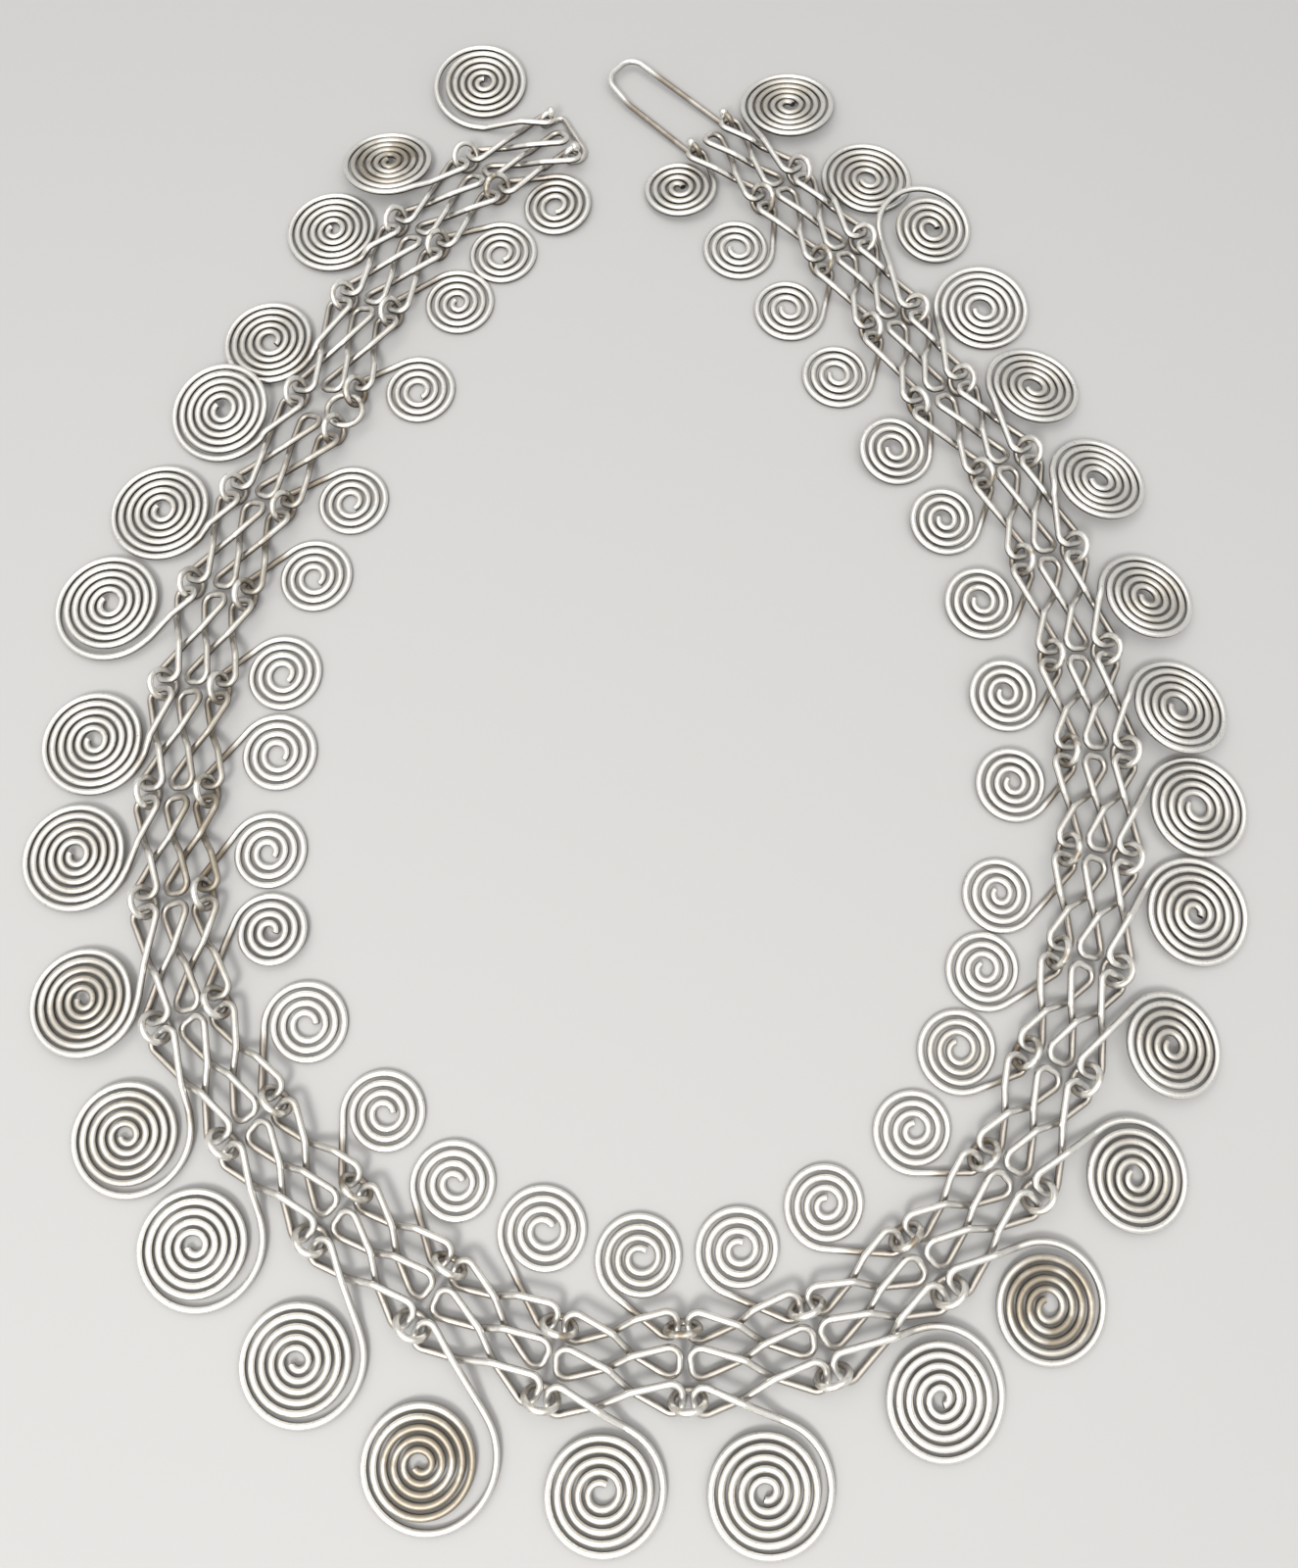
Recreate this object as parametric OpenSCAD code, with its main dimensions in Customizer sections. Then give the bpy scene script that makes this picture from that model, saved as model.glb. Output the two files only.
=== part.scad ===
/* [Wire] */
// Diameter of the silver wire that every piece is bent from
wire_d = 0.8; // [0.75:0.01:0.82]
/* [Links] */
// Usual distance from one jump ring to the next along the inner row of rings
pitch = 13.1; // [13:0.1:13.6]
// Distance between neighbours of the three rows of loops
row_gap = 3.6; // [3.5:0.05:3.8]
// Radius of a loop, to the middle of the wire
loop_r = 1.2; // [1.1:0.05:1.25]
// Height of the corners that each loop rounds, on both sides of its row
loop_corner = 2; // [1.95:0.05:2.1]
// Height of the middle of the links above the surface that they lie on
strip_z = 1.6; // [1.55:0.05:1.8]
// Height between the two sides of a loop, the outer side being the lower one
loop_rise = 1.45; // [1.3:0.05:1.5]
// Distance between the wires of two neighbouring loops, to the middle of the wires
end_gap = 1.24; // [1.2:0.02:1.3]
/* [Spirals] */
// Distance between neighbouring turns of an outer spiral
outer_turn_gap = 1.08; // [1:0.01:1.12]
// Distance between neighbouring turns of an inner spiral
inner_turn_gap = 1.12; // [1.04:0.01:1.16]
/* [Jump rings] */
// Outer diameter of a jump ring
ring_d = 4.4; // [4.3:0.05:4.5]
// Outer diameter of the round extender ring between the fourth and fifth links
extender_d = 5.5; // [5.4:0.1:5.6]
/* [Clasp] */
// Length of the hook from the end loops to the tip of the hairpin
hook_reach = 18.2; // [15:0.2:19]
// Width of the hairpin at its tip, to the middle of the wire
hook_tip_w = 5.4; // [5:0.1:5.6]
// Height of the hook's tip above the surface, to the middle of the wire
hook_tip_z = 1.4; // [0.5:0.1:2.5]
// Distance from the end loops to the bar, to the middle of the wires
bar_reach = 1.8; // [1.6:0.1:3]
// Distance by which the clasp's wires pass under and over the wire of an end loop
eye_r = 1.1; // [1:0.02:1.15]
// Length by which the bar's eyes reach further into the end loops than the hook's
bar_eye_more = 0.6; // [0.5:0.1:0.7]
// Diameter of the balls at the ends of the clasp's wires
ball_d = 1.3; // [1.2:0.05:1.35]
/* [Hidden] */
$fn = 40;
wire_r = wire_d / 2;
half_gap = end_gap / 2;
low_z = strip_z - loop_rise / 2;
high_z = strip_z + loop_rise / 2;
rows = [-row_gap, 0, row_gap];
outer_row = 0;
middle_row = 1;
inner_row = 2;
// Each joint between two stretches of wire is a ball this far from their ends
joint_trim = 0.05;
// Radius of a strand's bend on both sides of a crossing
strand_r = 1.2;
// Length that a strand keeps its height after a crossing, and its bow to the side there, which
// widens the loop that it comes from: of the strands along a row, of the diagonals between two
// rows where they leave one and arrive at the next, and of the leg that comes from the spiral
past = 0.75;
strand_bow = 0.3;
leave_bow = 0.3;
arrive_bow = 0.45;
leg_bow = 0;
// Radius of the bend that leads a link's wire into a spiral, and its corner's distance
knee_r = 2;
knee_length = 1.05;
// Tail of each eye, places of the eyes and of the bends across the link, and their radii
eye_tail = 0.5;
hook_eye_v = 3.55;
hook_skew = 0.4;
hook_bend = 12.8;
hook_bend_v = 3.3;
hook_radii = [0, 1, 1, 2.2, 2.2, 6, 1, 1, 0];
bar_eye_v = 3.85;
bar_corner_v = 4.4;
bar_radii = [0, 1, 1, 0.8, 1.5, 1, 1, 0];
// First end of the inner row of loops, with the whole necklace centred on the origin
start = [-8.25, 80];
// Room that the three extender rings take between the fourth and fifth links
extender_gap = 6.4;
extender_after = 4;
extender_z = 2;

// Columns of the table of links: heading in degrees, length by which the link is longer than
// usual, and its two spirals
heading = 0;
longer = 1;
outer = 2;
inner = 3;
// Columns of a spiral: place along the link, distance from its middle, width, lift of its
// raised side in degrees, direction of that side from the link's heading, and the room by
// which its outermost turn stands off
along_link = 0;
from_middle = 1;
width = 2;
lift = 3;
lift_side = 4;
stand_off = 5;
links = [
    [-150, 0.4, [-0.2, 14.2, 14.4, 5, 270, 0.5], [0.5, 9, 10.2, 3, 180, 0]],
    [-130, -0.6, [0.2, 11.3, 13.4, 12, 41, 0], [0.7, 10.2, 10.2, 0, 0, 0]],
    [-118, -0.6, [-2.2, 11.2, 13.4, 2, 90, 0], [-0.3, 9.9, 10.4, 0, 0, 0]],
    [-108, 0, [2.2, 10.8, 13.2, 3, 90, 0], [2.9, 10.8, 10.2, 0, 0, 0]],
    [-117, -0.2, [-2.3, 11.4, 14.4, 8, 160, 0.1], [1.1, 10.2, 10, 0, 0, 0]],
    [-107, 0, [-1.8, 11.8, 14, 3, 90, 0], [1, 10.3, 10.2, 0, 0, 0]],
    [-99, -0.2, [-2.6, 13.4, 14.8, 3, 90, 0.3], [2.8, 10.2, 10.2, 0, 0, 0]],
    [-91, 0.3, [0.3, 11.4, 13.8, 3, 90, 0], [1.2, 11, 10.2, 0, 0, 0]],
    [-86, -0.3, [0.4, 12.2, 13.7, 3, 90, 0], [1.3, 10.5, 9.8, 0, 0, 0]],
    [-78, 0, [3, 11.7, 13.4, 5, 45, 0], [-0.8, 10.2, 9.4, 5, 0, 0]],
    [-55, 0.5, [0.4, 11.9, 14.2, 2, 90, 0.4], [0.9, 10.4, 10.2, 0, 0, 0]],
    [-44, 0.5, [-1.4, 12.6, 14.6, 2, 90, 0.5], [2.7, 10.9, 9.9, 0, 0, 0]],
    [-37, 0.4, [0, 13.6, 14.1, 2, 90, 0.3], [1.4, 10.2, 9.8, 0, 0, 0]],
    [-27, 0.5, [0.6, 14.3, 15.2, 2, 90, 0.8], [0.5, 11.1, 10.2, 0, 0, 0]],
    [-1, 0.3, [-1.5, 12.4, 13.4, 2, 90, 0.2], [1.8, 10.4, 10, 0, 0, 0]],
    [9, 0.5, [-0.4, 13.3, 14.1, 2, 90, 0.3], [0.6, 10.2, 9.8, 0, 0, 0]],
    [33, 0.3, [0.5, 11.4, 14.2, 3, 90, 0.4], [1.2, 10.7, 9.6, 0, 0, 0]],
    [43, -0.4, [0.1, 11.8, 13.4, 3, 90, 0.3], [2.6, 10.4, 9.6, 0, 0, 0]],
    [63, -0.5, [-0.6, 12.4, 12.8, 5, 120, 0.1], [3.2, 10.2, 10, 0, 0, 0]],
    [68, -0.6, [0.9, 11.6, 12.5, 10, 135, 0], [1.3, 10.5, 9.6, 0, 0, 0]],
    [79, -0.4, [1.8, 12.1, 13.4, 4, 90, 0], [-0.4, 10.6, 9.4, 0, 0, 0]],
    [85, -0.6, [0.7, 12.1, 13.2, 5, 110, 0], [1.8, 9.8, 9.6, 3, 0, 0]],
    [94, -0.4, [-1.6, 10.9, 13.2, 12, 125, 0], [1.9, 9.6, 9.6, 6, 0, 0]],
    [101, 0.4, [-1.2, 10.5, 12.7, 12, 120, 0], [2.4, 9.7, 10, 5, 0, 0]],
    [109, 0.1, [0.9, 10.5, 13.2, 12, 110, 0], [2.3, 10.2, 9.6, 6, 0, 0]],
    [126, 0.1, [-0.4, 10.7, 13, 10, 100, 0], [3.2, 9.9, 10, 8, 0, 0]],
    [116, 0, [3.1, 12, 13.2, 5, 336, 0], [2.7, 10.4, 10, 0, 0, 0]],
    [120, -0.4, [4, 12, 13.6, 8, 10, 0.9], [2.6, 10.8, 10, 0, 0, 0]],
    [127, 0, [0.9, 11, 13, 3, 90, 0], [2.8, 10.6, 10.2, 0, 0, 0]],
    [138, 0.6, [1.4, 11.6, 13.6, 8, 150, 0], [3.6, 9.2, 10.4, 6, 180, 0]]
];
// Lean of each jump ring from upright, in degrees, from the first link to the last
outer_leans = [35, 30, 45, 30, 35, 30, 40, 25, 30, 35, 30, 45, 40, 35, 30,
    25, 40, 48, 35, 48, 48, 40, 45, 35, 35, 40, 48, 48, 30];
inner_leans = [30, 25, 30, 25, 25, 25, 20, 25, 20, 30, 30, 25, 20, 25, 15,
    20, 25, 32, 30, 20, 25, 20, 30, 25, 25, 15, 25, 30, 30];

count = len(links);
link_names = [for (i = [1:count]) str("link_", i < 10 ? "0" : "", i)];

function unit(v) = v / norm(v);
function direction(a) = [cos(a), sin(a)];
function angle_between(a, b) = acos(max(-1, min(1, unit(a) * unit(b))));
// Distance from a corner to the start of the arc of radius r that rounds it
function reach(a, b, c, r) = r * tan(angle_between(b - a, c - b) / 2);
// Place where the line from a to b meets the line from c to d, in plan
function meet(a, b, c, d) =
    let (e = b - a, f = d - c, g = c - a)
    a + e * (g[0] * f[1] - g[1] * f[0]) / (e[0] * f[1] - e[1] * f[0]);
function beside(v) = [v[1], -v[0]];
function low(p) = [p[0], p[1], low_z];
function high(p) = [p[0], p[1], high_z];

// Turn between a link and the next one, in degrees, and none past the ends
function turn_after(i) = i < 1 || i >= count ? 0 : links[i][heading] - links[i - 1][heading];
// First and last inner ring of link i, counted from 1
function spare(i) = i == extender_after ? extender_gap : 0;
function mean_heading(i) = links[i - 1][heading] + turn_after(i) / 2;
function link_start(i) =
    i == 1 ? start : link_end(i - 1) + direction(mean_heading(i - 1)) * spare(i - 1);
function link_length(i) = pitch + links[i - 1][longer];
function link_end(i) = link_start(i) + direction(links[i - 1][heading]) * link_length(i);
function link_middle(i) =
    (link_start(i) + link_end(i)) / 2 - direction(links[i - 1][heading] + 90) * row_gap;

// Length by which row k reaches further than the inner row towards gap i
function fan(i, k) = (row_gap - rows[k]) * tan(turn_after(i) / 2) + spare(i) / 2 * (inner_row - k) / 2;
function left_end(i, k) = half_gap - link_length(i) / 2 - fan(i - 1, k);
function right_end(i, k) = link_length(i) / 2 - half_gap + fan(i, k);

// Corners that a link's wire rounds at the two ends of a row
function left_in(i, k) = [left_end(i, k), rows[k] + loop_corner];
function left_out(i, k) = [left_end(i, k), rows[k] - loop_corner];
function right_in(i, k) = [right_end(i, k), rows[k] + loop_corner];
function right_out(i, k) = [right_end(i, k), rows[k] - loop_corner];

// A spiral's raised side lies at an angle from the link's heading, and v turns with it
function tilted(v, angle, side_angle) =
    let (axis = [sin(side_angle), -cos(side_angle), 0])
    v * cos(angle) + cross(axis, v) * sin(angle) + axis * (axis * v) * (1 - cos(angle));
function first_r(s) = (s[width] - wire_d) / 2;
// Middle of a spiral in plan, with side 1 for the inner one and -1 for the outer one
function middle(s, side) = [s[along_link], side * s[from_middle]];
function centre(s, side) =
    [middle(s, side)[0], middle(s, side)[1], wire_r + first_r(s) * sin(s[lift])];
// Direction from a spiral's middle to the place where a straight wire from p meets it
function touch_angle(s, side, p) =
    let (d = p - middle(s, side))
    atan2(d[1], d[0]) - acos(first_r(s) / norm(d));
// Frame of a spiral: its first turn starts where x_axis points and runs along y_axis there
function x_axis(s, touch) = tilted([cos(touch), sin(touch), 0], s[lift], s[lift_side]);
function y_axis(s, touch) = tilted([sin(touch), -cos(touch), 0], s[lift], s[lift_side]);
function entry(s, side, touch) =
    centre(s, side) + x_axis(s, touch) * first_r(s) - y_axis(s, touch) * joint_trim;
function knee(s, side, touch) =
    let (p = entry(s, side, touch) - y_axis(s, touch) * knee_length)
    [p[0], p[1], max(p[2], wire_r)];
function outer_touch(i) = touch_angle(links[i - 1][outer], -1, left_in(i, outer_row));
function inner_touch(i) = touch_angle(links[i - 1][inner], 1, right_out(i, inner_row));
function plan(p) = [p[0], p[1]];

// One row of a link's wire: it comes from a point, rounds the left loop, crosses to the
// right loop below and above the diagonals, rounds it and leaves for another point
function row_points(i, k, from, to) = let (
    a = left_in(i, k),
    b = left_out(i, k),
    c = right_in(i, k),
    d = right_out(i, k),
    ahead = unit(c - b),
    aside = beside(ahead) * strand_bow,
    first = meet(b, c, from, a) + ahead * past + aside,
    second = meet(b, c, d, to) - ahead * past - aside
) [high(a), low(b), low(first), high(second), high(c), low(d)];
// Place where a wire from a point to the left loop of row k has crossed the row's strand
function arrival(i, k, from, bow) = let (ahead = unit(left_in(i, k) - from))
    meet(left_out(i, k), right_in(i, k), from, left_in(i, k)) - ahead * past + beside(ahead) * bow;
// Two corners of the diagonal that comes from the right loop of the row before row k
function diagonal(i, k) = let (
    from = right_out(i, k - 1),
    ahead = unit(left_in(i, k) - from),
    leave = meet(left_out(i, k - 1), right_in(i, k - 1), from, left_in(i, k))
) [low(leave + ahead * past - beside(ahead) * leave_bow), high(arrival(i, k, from, arrive_bow))];
function wire_points(i) = let (
    big = links[i - 1][outer],
    small = links[i - 1][inner],
    big_knee = knee(big, -1, outer_touch(i)),
    small_knee = knee(small, 1, inner_touch(i))
) concat(
    [entry(big, -1, outer_touch(i)), big_knee, high(arrival(i, outer_row, plan(big_knee), leg_bow))],
    row_points(i, outer_row, plan(big_knee), left_in(i, middle_row)),
    diagonal(i, middle_row),
    row_points(i, middle_row, right_out(i, outer_row), left_in(i, inner_row)),
    diagonal(i, inner_row),
    row_points(i, inner_row, right_out(i, middle_row), plan(small_knee)),
    [small_knee, entry(small, 1, inner_touch(i))]);
strand_radii = [strand_r, strand_r];
row_radii = concat([loop_r, loop_r], strand_radii, [loop_r, loop_r]);
wire_radii = concat(
    [0, knee_r, strand_r], row_radii, strand_radii, row_radii, strand_radii, row_radii, [knee_r, 0]);

// Moves a shape to p and turns its x and z axes along the given directions
module place(p, x, z) {
    y = cross(z, x);
    multmatrix([[x[0], y[0], z[0], p[0]], [x[1], y[1], z[1], p[1]], [x[2], y[2], z[2], p[2]], [0, 0, 0, 1]])
        children();
}

// Moves a shape into the frame of a spiral
module on_spiral(s, side, touch) {
    x = x_axis(s, touch);
    place(centre(s, side), x, cross(x, y_axis(s, touch))) children();
}

// Arc of wire that rounds the corner b between a and c
module bend(a, b, c, r) {
    into = unit(b - a);
    out = unit(c - b);
    axis = unit(cross(into, out));
    side = cross(into, axis);
    trim = joint_trim / r * 180 / PI;
    place(b - into * reach(a, b, c, r) - side * r, side, axis)
        rotate([0, 0, trim])
            rotate_extrude(angle = angle_between(into, out) - 2 * trim)
                translate([r, 0]) circle(wire_r);
}

// Moves a shape to p and turns its z axis along z
module point(p, z) {
    place(p, unit(cross(z, abs(z[2]) < 0.9 ? [0, 0, 1] : [1, 0, 0])), z) children();
}

// Straight stretch of wire from p to q, with a ball at each end
module rod(p, q) {
    z = unit(q - p);
    point(p + z * joint_trim, z) cylinder(h = norm(q - p) - 2 * joint_trim, r = wire_r);
    point(p, z) sphere(wire_r);
    point(q, z) sphere(wire_r);
}

// Wire along straight lines between points, with an arc of its own radius at each corner
module wire(points, radii) {
    last = len(points) - 1;
    for (i = [1:last - 1])
        bend(points[i - 1], points[i], points[i + 1], radii[i]);
    for (i = [0:last - 1]) {
        z = unit(points[i + 1] - points[i]);
        p = points[i] + z * (i == 0 ? 0 : reach(points[i - 1], points[i], points[i + 1], radii[i]));
        q = points[i + 1] - z * (i == last - 1 ? 0 : reach(points[i], points[i + 1], points[i + 2], radii[i + 1]));
        rod(p, q);
    }
}

// Half turns of wire that share a centre
module half_turns(radii) {
    rotate_extrude(angle = 180)
        for (r = radii) translate([r, 0]) circle(wire_r);
}

// Flat spiral of half turns round two centres, from its outer end to the small hook inside
module spiral(s, turn_gap) {
    step = turn_gap / 2;
    r = first_r(s);
    turns = floor((r - s[stand_off] - wire_d) / step);
    half_turns([r]);
    translate([-step - s[stand_off], 0, 0])
        rotate([0, 0, 180])
            half_turns([for (i = [1:2:turns]) r - s[stand_off] - i * step]);
    translate([-s[stand_off], 0, 0])
        half_turns([for (i = [2:2:turns]) r - s[stand_off] - i * step]);
}

// Moves a shape into the frame of link i
module on_link(i) {
    translate([link_middle(i)[0], link_middle(i)[1], 0])
        rotate([0, 0, links[i - 1][heading]]) children();
}

// Link i, counted from 1: one wire with an outer spiral, three rows of loops and an inner spiral
module link(i) {
    big = links[i - 1][outer];
    small = links[i - 1][inner];
    color("silver") on_link(i) {
        wire(wire_points(i), wire_radii);
        on_spiral(big, -1, outer_touch(i)) spiral(big, outer_turn_gap);
        on_spiral(small, 1, inner_touch(i)) spiral(small, inner_turn_gap);
    }
}

// Ring of wire that stands on the surface at p, in line with a heading, leaning outwards
module jump_ring(p, angle, lean, d) {
    r = (d - wire_d) / 2;
    color("silver")
        translate([p[0], p[1], wire_r + r * cos(lean)])
            rotate([0, 0, angle])
                rotate([90 + lean, 0, 0])
                    rotate_extrude() translate([r, 0]) circle(wire_r);
}

module outer_jump_rings() {
    for (i = [1:count - 1]) {
        out = direction(mean_heading(i) - 90) * 2 * row_gap / cos(turn_after(i) / 2);
        inner_place = link_end(i) + direction(mean_heading(i)) * spare(i) / 2;
        jump_ring(inner_place + out, mean_heading(i), outer_leans[i - 1], ring_d);
    }
}

// The rings of the inner row, with the extender's round ring lying between two of them
module inner_jump_rings() {
    for (i = [1:count - 1]) jump_ring(link_end(i), mean_heading(i), inner_leans[i - 1], ring_d);
    jump_ring(link_start(extender_after + 1), mean_heading(extender_after), inner_leans[extender_after], ring_d);
    between = (link_end(extender_after) + link_start(extender_after + 1)) / 2;
    color("silver") translate([between[0], between[1], extender_z])
        rotate_extrude() translate([(extender_d - wire_d) / 2, 0]) circle(wire_r);
}

// Ends of an eye, from the ball to the place below the end loop: the loop's wire is at u, the
// side that points out of the loop is 1 or -1, and v is the eye's place across the link
function eye(u, side, v, more) = [
    [u + side * (eye_tail - more), v, strip_z + eye_r],
    [u - side * (eye_r + more), v, strip_z + eye_r],
    [u - side * (eye_r + more), v, strip_z - eye_r]
];
function flipped(list) = [for (i = [len(list) - 1:-1:0]) list[i]];
function hook_points() =
    let (u = right_end(count, middle_row), tip = u + hook_reach, eye_z = strip_z - eye_r)
    concat(
        eye(u, 1, -hook_eye_v, 0),
        [
            [tip, -hook_tip_w / 2 - hook_skew, hook_tip_z],
            [tip, hook_tip_w / 2 - hook_skew, hook_tip_z],
            [u + hook_bend, hook_bend_v, eye_z + (hook_tip_z - eye_z) / 2]
        ],
        flipped(eye(u, 1, hook_eye_v, 0)));
function bar_points() =
    let (u = left_end(1, middle_row), eye_z = strip_z - eye_r)
    concat(
        eye(u, -1, -bar_eye_v, bar_eye_more),
        [[u - bar_reach, -bar_eye_v - 0.3, eye_z], [u - bar_reach + 0.2, bar_corner_v, eye_z]],
        flipped(eye(u, -1, bar_eye_v - 0.5, bar_eye_more)));

// Wire with a ball on each of its ends
module balled_wire(points, radii) {
    color("silver") {
        wire(points, radii);
        for (i = [0, len(points) - 1])
            point(points[i], unit(points[i] - points[i == 0 ? 1 : i - 1])) sphere(d = ball_d);
    }
}

// Long hairpin of wire that hooks over the bar and swings in the end loops of the last link
module clasp_hook() {
    on_link(count) balled_wire(hook_points(), hook_radii);
}

// Staple of wire that swings in the end loops of the first link
module clasp_bar() {
    on_link(1) balled_wire(bar_points(), bar_radii);
}

for (i = [1:count]) link(i);
outer_jump_rings();
inner_jump_rings();
clasp_hook();
clasp_bar();
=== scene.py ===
import math
import bmesh
import bpy
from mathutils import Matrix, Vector, noise


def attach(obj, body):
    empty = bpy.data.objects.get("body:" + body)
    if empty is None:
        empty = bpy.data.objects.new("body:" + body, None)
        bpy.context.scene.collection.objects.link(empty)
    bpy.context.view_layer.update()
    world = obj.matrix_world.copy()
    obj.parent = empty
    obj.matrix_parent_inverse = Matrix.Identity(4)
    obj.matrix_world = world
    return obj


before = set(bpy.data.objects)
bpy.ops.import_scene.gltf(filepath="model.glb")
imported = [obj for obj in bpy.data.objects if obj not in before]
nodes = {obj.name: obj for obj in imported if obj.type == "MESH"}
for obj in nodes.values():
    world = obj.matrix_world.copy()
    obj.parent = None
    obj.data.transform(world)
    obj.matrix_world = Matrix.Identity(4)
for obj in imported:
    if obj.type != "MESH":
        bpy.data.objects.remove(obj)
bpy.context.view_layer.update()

# The photograph's camera stands over the near side of the collar and looks down at it. Its tilt
# from straight down is in degrees, and its focal length and the photo's height are in pixels.
CAMERA_PLACE = (0.00155, -0.0615, 0.154)
CAMERA_TILT = 17
PHOTO_FOCAL, PHOTO_H = 1330, 1600
SENSOR_H = 24
CLIP_START = 0.005
scene = bpy.context.scene
camera = bpy.data.objects.new("camera", bpy.data.cameras.new("camera"))
scene.collection.objects.link(camera)
scene.camera = camera
camera.location = CAMERA_PLACE
camera.rotation_euler = (math.radians(CAMERA_TILT), 0, 0)
camera.data.sensor_fit = "VERTICAL"
camera.data.sensor_height = SENSOR_H
camera.data.lens = SENSOR_H * PHOTO_FOCAL / PHOTO_H
camera.data.clip_start = CLIP_START

# The row of links in mm: the usual distance between its inner jump rings, the distance between
# two of its rows of loops, the room that the extender's rings take after the fourth link, and
# where the inner row starts at the bar.
PITCH = 13.1
ROW_GAP = 3.6
EXTENDER_GAP = 6.4
EXTENDER_AFTER = 4
START = (-8.25, 80.0)
MM_PER_M = 1000

# The links as they lie: heading in degrees, length in mm by which a link is longer than usual,
# and how tarnished its outer spiral, its loops and its inner spiral are, from 0 to 1.
COLUMNS = ("heading", "longer", "outer", "loops", "inner")
LINKS = [
    (-150, 0.4, 0.35, 0.15, 0.25),
    (-130, -0.6, 0.85, 0.15, 0.15),
    (-118, -0.6, 0.15, 0.15, 0.1),
    (-108, 0, 0.3, 0.35, 0.1),
    (-117, -0.2, 0.15, 0.65, 0.15),
    (-107, 0, 0.2, 0.65, 0.1),
    (-99, -0.2, 0.05, 0.45, 0.05),
    (-91, 0.3, 0.2, 0.7, 0.05),
    (-86, -0.3, 0.35, 0.9, 0.1),
    (-78, 0, 0.6, 0.6, 0.1),
    (-55, 0.5, 0.5, 0.35, 0.05),
    (-44, 0.5, 0.1, 0.35, 0.2),
    (-37, 0.4, 0.3, 0.3, 0.1),
    (-27, 0.5, 0.9, 0.3, 0.15),
    (-1, 0.3, 0.4, 0.3, 0.35),
    (9, 0.5, 0.3, 0.3, 0.15),
    (33, 0.3, 0.1, 0.2, 0.15),
    (43, -0.4, 0.95, 0.2, 0.1),
    (63, -0.5, 0.5, 0.2, 0.35),
    (68, -0.6, 0.45, 0.2, 0.1),
    (79, -0.4, 0.35, 0.25, 0.1),
    (85, -0.6, 0.3, 0.3, 0.15),
    (94, -0.4, 0.3, 0.25, 0.15),
    (101, 0.4, 0.5, 0.25, 0.2),
    (109, 0.1, 0.3, 0.25, 0.15),
    (126, 0.1, 0.35, 0.2, 0.2),
    (116, 0, 0.05, 0.2, 0.1),
    (120, -0.4, 0.35, 0.2, 0.1),
    (127, 0, 0.4, 0.2, 0.05),
    (138, 0.6, 0.55, 0.2, 0.35),
]


def toward(degrees):
    """The direction of a heading in plan."""
    angle = math.radians(degrees)
    return Vector((math.cos(angle), math.sin(angle), 0))


def link_frames():
    """The middle of each link in metres, and the direction from its outer to its inner spiral."""
    frames = []
    place = Vector((*START, 0))
    for i, row in enumerate(LINKS, 1):
        heading, longer = row[:2]
        across = toward(heading + 90)
        end = place + toward(heading) * (PITCH + longer)
        frames.append((((place + end) / 2 - across * ROW_GAP) / MM_PER_M, across))
        place = end
        if i == EXTENDER_AFTER:
            place = end + toward((heading + LINKS[i][0]) / 2) * EXTENDER_GAP
    return frames


LINK_FRAMES = link_frames()

# Colours of the silver: clean, tarnished, in painted shade and with its fine marks, and the
# painted dark reflection and shade on the flanks
BRIGHT = (0.95, 0.92, 0.86)
GOLD = (0.37, 0.315, 0.235)
BROWN = (0.24, 0.18, 0.12)
PAINTED_FLANK_SHADE = (0.06, 0.05, 0.04)
# Scale and detail of the noise that makes patches of tarnish, fine grain and spots on the rings
PATCHES = (260.0, 3.0)
GRAIN = (2600.0, 5.0)
SPOTS = (700.0, 2.0)
# Noise between which a patch or a fine mark comes up, the share of the tarnish that is left
# between the patches, and how strong a mark is
PATCH_LIMITS, PATCH_LEAST = (0.25, 0.7), 0.35
MARK_LIMITS, MARK_AMOUNT = (0.56, 0.78), 0.45
# Roughness of clean silver, and what full tarnish and the grain add to it
ROUGH, ROUGH_OF_TARNISH, ROUGH_OF_GRAIN = 0.34, 0.15, 0.12
BUMP_STRENGTH, BUMP_DEPTH = 0.3, 0.00003


class Nodes:
    """Adds shader nodes and their links in short calls."""

    def __init__(self, name):
        self.material = bpy.data.materials.new(name)
        self.material.use_nodes = True
        self.tree = self.material.node_tree
        self.shader = self.tree.nodes["Principled BSDF"]

    def feed(self, socket, value):
        """Links the value to the socket if it is a node's output, or else sets the socket to it."""
        if isinstance(value, bpy.types.NodeSocket):
            self.tree.links.new(value, socket)
        else:
            socket.default_value = value

    def add(self, kind, **inputs):
        node = self.tree.nodes.new(kind)
        for name, value in inputs.items():
            self.feed(node.inputs[name], value)
        return node

    def set(self, name, value):
        self.feed(self.shader.inputs[name], value)


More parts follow.
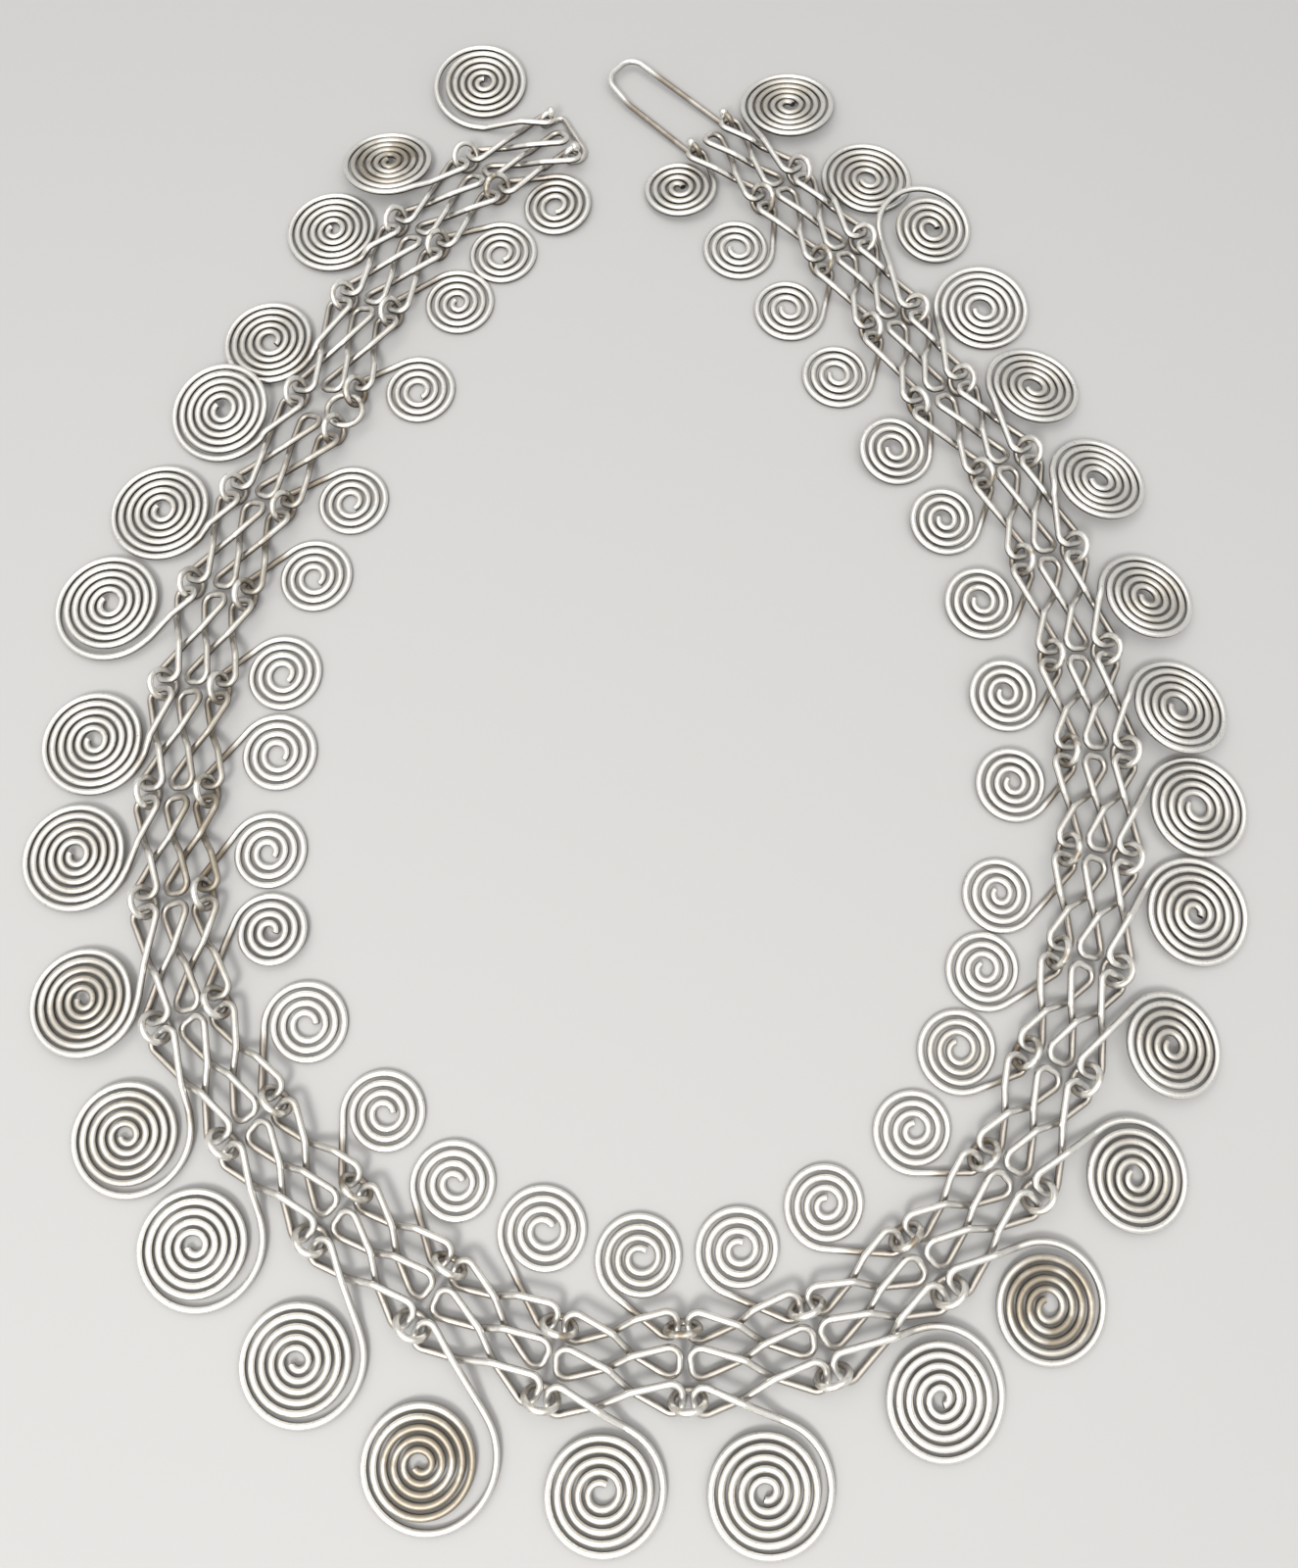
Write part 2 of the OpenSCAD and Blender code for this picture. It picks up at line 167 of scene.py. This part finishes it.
class Silver(Nodes):
    """Worn silver: warm tarnish, fine marks, painted light on the crests and painted shade on the
    flanks.
    """

    def __init__(self, name):
        super().__init__(name)
        self.place = self.add("ShaderNodeTexCoord").outputs["Object"]
        self.normal = self.add("ShaderNodeNewGeometry").outputs["Normal"]
        self.patches = self.noise(*PATCHES)
        self.grain = self.noise(*GRAIN)

    def noise(self, scale, detail):
        node = self.add("ShaderNodeTexNoise", Vector=self.place, Scale=scale, Detail=detail)
        return node.outputs["Fac"]

    def math(self, operation, a, b):
        node = self.tree.nodes.new("ShaderNodeMath")
        node.operation = operation
        for socket, value in zip(node.inputs, (a, b)):
            self.feed(socket, value)
        return node

    def times(self, a, b):
        return self.math("MULTIPLY", a, b).outputs["Value"]

    def minus(self, a, b):
        return self.math("SUBTRACT", a, b).outputs["Value"]

    def plus(self, a, b):
        """The sum, which stops at 1."""
        node = self.math("ADD", a, b)
        node.use_clamp = True
        return node.outputs["Value"]

    def vector(self, operation, a, b, output):
        node = self.tree.nodes.new("ShaderNodeVectorMath")
        node.operation = operation
        self.feed(node.inputs[0], a)
        self.feed(node.inputs[1], b)
        return node.outputs[output]

    def distance(self, point):
        """How far the surface is from a point, in metres."""
        return self.vector("DISTANCE", self.place, point, "Value")

    def z_of(self, vector):
        return self.add("ShaderNodeSeparateXYZ", Vector=vector).outputs["Z"]

    def between(self, value, low, high):
        """Goes smoothly from 0 at the first limit to 1 at the second, which may be the lower one."""
        node = self.add("ShaderNodeMapRange", Value=value)
        node.interpolation_type = "SMOOTHSTEP"
        self.feed(node.inputs["From Min"], low)
        self.feed(node.inputs["From Max"], high)
        return node.outputs["Result"]

    def mix(self, factor, a, b):
        """The colour a where the factor is 0, and the colour b where it is 1."""
        node = self.tree.nodes.new("ShaderNodeMix")
        node.data_type = "RGBA"
        for name, value in (("Factor", factor), ("A", a), ("B", b)):
            socket = [s for s in node.inputs if s.name == name and s.enabled][0]
            self.feed(socket, (*value, 1) if isinstance(value, tuple) else value)
        return [s for s in node.outputs if s.enabled][0]

    def finish(self, tarnish, shade, flank):
        """Colours the metal by its tarnish and shade, both from 0 to 1. The flank's limits are the
        heights of the surface's direction where the painted flank shade ends and the colour is full."""
        uneven = self.between(self.patches, *PATCH_LIMITS)
        golden = self.times(tarnish, self.plus(uneven, PATCH_LEAST))
        color = self.mix(golden, BRIGHT, GOLD)
        color = self.mix(shade, color, BROWN)
        # Painted light on the crests, where the wire faces up, and painted dark reflection on its
        # flanks
        painted_crest_light = self.between(self.z_of(self.normal), *flank)
        color = self.mix(painted_crest_light, PAINTED_FLANK_SHADE, color)
        marks = self.times(self.between(self.grain, *MARK_LIMITS), MARK_AMOUNT)
        color = self.mix(marks, color, BROWN)
        self.set("Base Color", color)
        self.set("Metallic", 1.0)
        rough = self.plus(self.times(golden, ROUGH_OF_TARNISH), ROUGH)
        self.set("Roughness", self.plus(rough, self.times(self.grain, ROUGH_OF_GRAIN)))
        bump = self.add(
            "ShaderNodeBump", Height=self.grain, Strength=BUMP_STRENGTH, Distance=BUMP_DEPTH
        )
        self.set("Normal", bump.outputs["Normal"])
        return self.material


# A link across its width, in metres from its middle: where its loops end and its spirals begin,
# which points belong to a spiral, and the way from its outer loops to the ones at the neck.
LOOPS_END, SPIRAL_START = 0.0053, 0.0064
SPIRAL_POINTS = 0.0062
TO_NECK = (-0.002, 0.0045)
# A spiral is clean outside the first share of its radius and dull inside the second. Its outer
# turn and the outer loops have only a share of their tarnish.
CLEAN_TURN, DULL_TURNS = 0.92, 0.66
OUTER_TURN_SHARE = 0.15
OUTER_LOOPS_SHARE = 0.45
SPIRAL_Z = 0.0006
# Heights between which the shade on the low wires comes in, and its amount
LINK_LOW, LINK_SHADE = (0.0021, 0.0009), 0.62
# Limits of the painted light on the crests and the painted shade on the flanks
LINK_FLANK = (0.0, 0.5)


def spiral_disc(points):
    """Middle and radius of the disc that a spiral's points fill, in plan."""
    low = [min(p[k] for p in points) for k in (0, 1)]
    high = [max(p[k] for p in points) for k in (0, 1)]
    centre = Vector(((low[0] + high[0]) / 2, (low[1] + high[1]) / 2, SPIRAL_Z))
    return centre, (high[0] - low[0] + high[1] - low[1]) / 4


def link_silver(name, node, middle, across, tarnish):
    """Silver of one link, with the tarnish of its outer spiral, its loops and its inner spiral."""
    m = Silver(name)
    from_middle = m.vector("SUBTRACT", m.place, middle, "Vector")
    side = m.vector("DOT_PRODUCT", from_middle, across, "Value")
    points = [v.co for v in node.data.vertices]
    total = None
    loops = 1.0
    for sign, key in ((-1, "outer"), (1, "inner")):
        spiral = m.between(side, sign * LOOPS_END, sign * SPIRAL_START)
        disc = [p for p in points if (p - middle).dot(across) * sign > SPIRAL_POINTS]
        centre, radius = spiral_disc(disc)
        depth = m.between(m.distance(centre), radius * CLEAN_TURN, radius * DULL_TURNS)
        amount = m.plus(m.times(depth, 1 - OUTER_TURN_SHARE), OUTER_TURN_SHARE)
        amount = m.times(m.times(spiral, amount), tarnish[key])
        total = amount if total is None else m.plus(total, amount)
        loops = m.minus(loops, spiral)
    neck_side = m.plus(m.between(side, *TO_NECK), OUTER_LOOPS_SHARE)
    in_loops = m.times(m.times(loops, neck_side), tarnish["loops"])
    total = m.plus(total, in_loops)
    low = m.between(m.z_of(m.place), *LINK_LOW)
    shade = m.times(m.times(loops, low), LINK_SHADE)
    return m.finish(total, shade, LINK_FLANK)


SPOT_LIMITS = (0.42, 0.66)
# Heights between which the painted shade on the low side of the rings, the bar and the balls comes
# in
RING_LOW = (0.0032, 0.0008)


def plain_silver(name, tarnish, shade, flank):
    """Silver of the rings, the bar and the balls, with tarnish in spots."""
    m = Silver(name)
    spots = m.between(m.noise(*SPOTS), *SPOT_LIMITS)
    low = m.between(m.z_of(m.place), *RING_LOW)
    return m.finish(m.times(spots, tarnish), m.times(low, shade), flank)


# The hook is rubbed clean at its tip and tarnished further than these distances from there.
HOOK_TIP = Vector((-0.0037, 0.0955, 0.0014))
FROM_TIP = (0.0052, 0.0078)
HOOK_TARNISH = 0.5
HOOK_PATCH_LIMITS = (0.35, 0.6)
HOOK_SHADE, HOOK_PATCH_SHADE = 0.35, 0.3
# Limits of the painted light on the crests and the painted shade on the flanks
HOOK_FLANK = (-0.5, 0.4)


def hook_silver(name):
    m = Silver(name)
    dull = m.between(m.distance(HOOK_TIP), *FROM_TIP)
    patches = m.between(m.patches, *HOOK_PATCH_LIMITS)
    shade = m.plus(m.times(patches, HOOK_PATCH_SHADE), HOOK_SHADE)
    return m.finish(m.times(dull, HOOK_TARNISH), m.times(dull, shade), HOOK_FLANK)


def dress(node, material):
    for slot in node.material_slots:
        slot.material = material
    if not node.material_slots:
        node.data.materials.append(material)


# Node, material, tarnish of its spots and painted shade of its low side, from 0 to 1, and the
# limits of its painted flank shade
PLAIN_NODES = [
    ("outer_jump_rings", "silver_outer_rings", 0.5, 0.5, (-0.3, 0.5)),
    ("inner_jump_rings", "silver_inner_rings", 1.0, 0.75, (-0.3, 0.6)),
    ("clasp_bar", "silver_bar", 0.3, 0.25, (-0.5, 0.3)),
]
for i, (row, (middle, across)) in enumerate(zip(LINKS, LINK_FRAMES), 1):
    name = f"link_{i:02d}"
    tarnish = dict(zip(COLUMNS, row))
    dress(nodes[name], link_silver("silver_" + name, nodes[name], middle, across, tarnish))
for name, *looks in PLAIN_NODES:
    dress(nodes[name], plain_silver(*looks))
dress(nodes["clasp_hook"], hook_silver("silver_hook"))

# The balls on the ends of the clasp's wires, in metres, with dents as shares of the radius
BALL_R, BALL_Z = 0.00068, 0.0027
BALL_SUBDIVISIONS = 5
DENT_DEPTH, DENT_SCALE = 0.12, 1500
SEED_STEP = 7
# Body, the link that it hangs from, and the balls' places along and across that link in mm
BALLS = [
    ("hook", 30, 6.73, (-3.55, 3.55)),
    ("bar", 1, -6.03, (-3.85, 3.35)),
]
ball_silver = plain_silver("silver_balls", 0.15, 0.1, (-0.8, -0.1))


def melted_ball(name, place, body, seed):
    """A ball that a flame has drawn up on the end of a wire: round, with soft dents."""
    mesh = bpy.data.meshes.new(name)
    shape = bmesh.new()
    bmesh.ops.create_icosphere(shape, subdivisions=BALL_SUBDIVISIONS, radius=BALL_R)
    offset = Vector((seed * SEED_STEP, 0, 0))
    for v in shape.verts:
        v.co *= 1 + DENT_DEPTH * noise.noise(v.co * DENT_SCALE + offset)
    for face in shape.faces:
        face.smooth = True
    shape.to_mesh(mesh)
    shape.free()
    ball = bpy.data.objects.new(name, mesh)
    scene.collection.objects.link(ball)
    ball.location = place
    mesh.materials.append(ball_silver)
    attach(ball, body)


for body, i, along, sides in BALLS:
    middle, across = LINK_FRAMES[i - 1]
    ahead = toward(LINKS[i - 1][0])
    for k, side in enumerate(sides, 1):
        place = middle + (ahead * along + across * side) / MM_PER_M + Vector((0, 0, BALL_Z))
        melted_ball(f"{body}_ball_{k}", place, body, i + k)

# Plain pale floor
FLOOR_HALF = 0.9
FLOOR_COLOR, FLOOR_ROUGHNESS = (0.5, 0.49, 0.475, 1), 0.85
corners = [(x * FLOOR_HALF, y * FLOOR_HALF, 0) for x, y in ((-1, -1), (1, -1), (1, 1), (-1, 1))]
floor_mesh = bpy.data.meshes.new("floor")
floor_mesh.from_pydata(corners, [], [(0, 1, 2, 3)])
floor = bpy.data.objects.new("floor", floor_mesh)
scene.collection.objects.link(floor)
paper = Nodes("paper")
paper.set("Base Color", FLOOR_COLOR)
paper.set("Roughness", FLOOR_ROUGHNESS)
floor_mesh.materials.append(paper.material)

# Soft studio light: name, place, size in metres, power in watts and colour
LIGHTS = [
    ("overhead", (-0.05, -0.05, 0.55), (0.9, 0.8), 2.6, (1, 0.985, 0.96)),
    ("key", (-0.12, -0.32, 0.4), (0.12, 0.12), 1.3, (1, 1, 1)),
]
WORLD_COLOR, WORLD_STRENGTH = (0.85, 0.87, 0.9, 1), 0.68


def area_light(name, place, size, power, color):
    """A rectangular light that looks at the middle of the floor."""
    data = bpy.data.lights.new(name, "AREA")
    data.shape = "RECTANGLE"
    data.size, data.size_y = size
    data.energy = power
    data.color = color
    light = bpy.data.objects.new(name, data)
    scene.collection.objects.link(light)
    light.location = place
    light.rotation_euler = (-Vector(place)).to_track_quat("-Z", "Y").to_euler()


for light in LIGHTS:
    area_light(*light)
world = bpy.data.worlds.new("world")
scene.world = world
world.use_nodes = True
background = world.node_tree.nodes["Background"]
background.inputs["Color"].default_value = WORLD_COLOR
background.inputs["Strength"].default_value = WORLD_STRENGTH
scene.view_settings.view_transform = "Standard"
